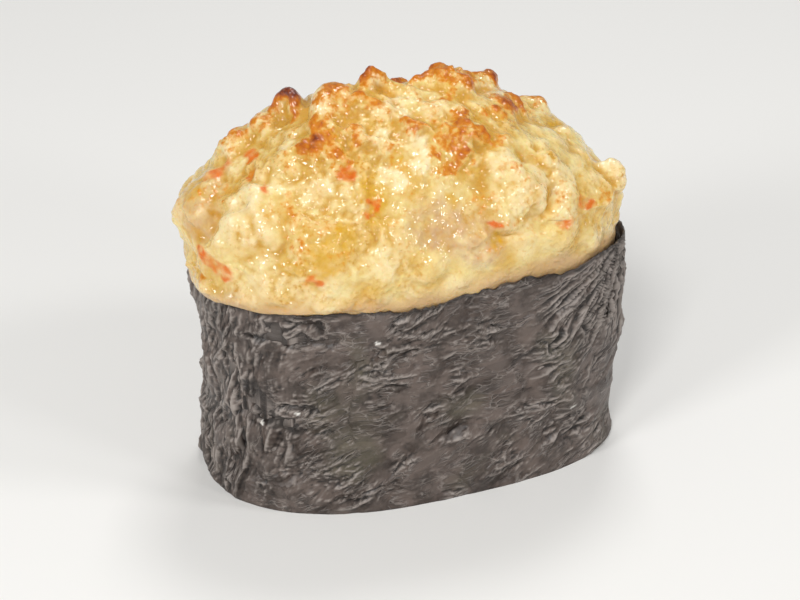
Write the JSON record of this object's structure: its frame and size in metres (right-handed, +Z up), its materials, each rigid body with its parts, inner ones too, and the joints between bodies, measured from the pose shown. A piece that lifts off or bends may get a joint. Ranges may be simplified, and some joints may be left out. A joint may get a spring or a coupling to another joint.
{
  "type": "gunkan sushi",
  "caption": "Oval gunkan sushi: pressed rice in an upright band of nori, heaped with a creamy seafood topping baked until its crags brown.",
  "frame": {"origin": "centre of the band's oval plan, on the board that the sushi stands on, at the flat underside of the middle rice grain", "axes": "+X along the length, +Y across the width to the back, +Z up; the front that the picture shows faces -Y"},
  "size_m": [0.058, 0.0346, 0.0532],
  "materials": {
    "nori": "moist seaweed sheet, satin, finely crinkled",
    "rice": "sticky cooked rice, soft gloss",
    "topping": "creamy baked sauce, wet gloss, browned crags"
  },
  "bodies": {
    "root": {"nori_band": "nori", "rice_bed": "rice", "baked_topping": "topping"}
  },
  "joints": []
}
